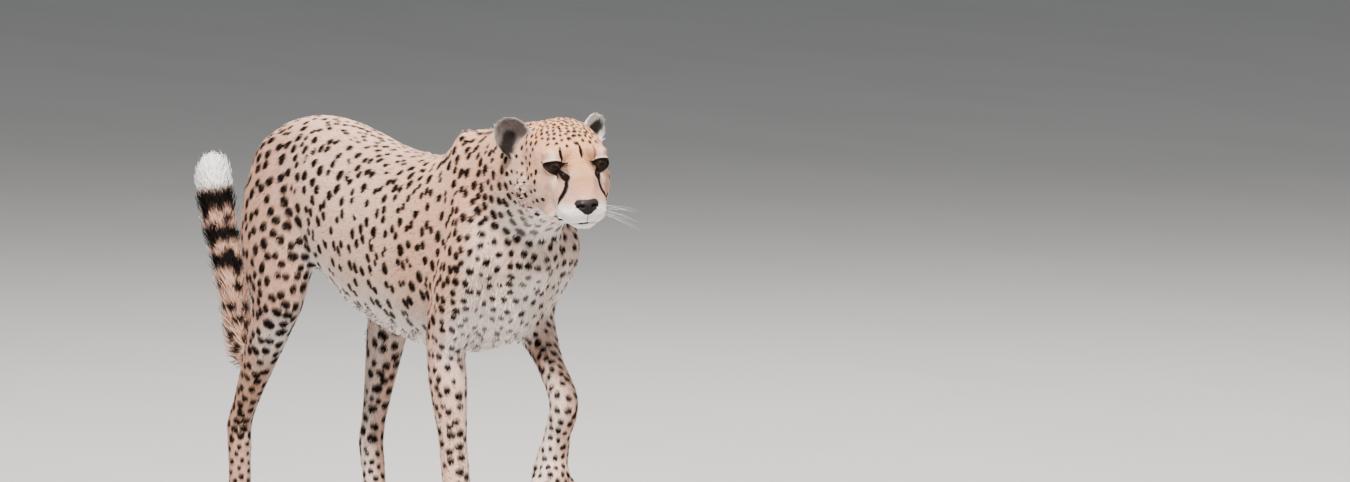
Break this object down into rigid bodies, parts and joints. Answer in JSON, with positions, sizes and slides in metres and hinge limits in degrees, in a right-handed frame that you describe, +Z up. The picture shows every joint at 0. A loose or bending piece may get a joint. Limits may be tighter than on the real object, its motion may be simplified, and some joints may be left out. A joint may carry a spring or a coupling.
{
  "type": "cheetah",
  "caption": "Life-size cheetah, walking, with a spotted golden coat, black tear lines, one forepaw lifted and a white-tipped tail carried low.",
  "frame": {"origin": "centre of the bottom of the whole animal's box, on the floor it stands on", "axes": "+X the way the body faces, +Y its left side, +Z up"},
  "size_m": [1.3254, 0.241, 0.8188],
  "materials": {
    "golden_coat": "short dense golden fur with solid dark spots",
    "pale_coat": "short pale fur with small dark spots",
    "white_coat": "long soft white fur",
    "ear_coat": "very short grey-fawn fur",
    "eye": "wet polished amber",
    "claw": "smooth dark horn"
  },
  "bodies": {
    "root": {"claw_forefoot_left_1": "claw", "claw_forefoot_left_2": "claw", "claw_forefoot_left_3": "claw", "claw_forefoot_left_4": "claw", "claw_forefoot_right_1": "claw", "claw_forefoot_right_2": "claw", "claw_forefoot_right_3": "claw", "claw_forefoot_right_4": "claw", "claw_hindfoot_left_1": "claw", "claw_hindfoot_left_2": "claw", "claw_hindfoot_left_3": "claw", "claw_hindfoot_left_4": "claw", "claw_hindfoot_right_1": "claw", "claw_hindfoot_right_2": "claw", "claw_hindfoot_right_3": "claw", "claw_hindfoot_right_4": "claw", "ear_left": "ear_coat", "ear_right": "ear_coat", "eye_left": "eye", "eye_right": "eye", "forearm_left": "pale_coat", "forearm_right": "pale_coat", "forefoot_left": "pale_coat", "forefoot_right": "pale_coat", "head": "golden_coat", "hindfoot_left": "pale_coat", "hindfoot_right": "pale_coat", "neck": "golden_coat", "shank_left": "pale_coat", "shank_right": "pale_coat", "tail_base": "golden_coat", "tail_middle": "golden_coat", "tail_tip": "white_coat", "thigh_left": "golden_coat", "thigh_right": "golden_coat", "trunk": "golden_coat"}
  },
  "joints": []
}
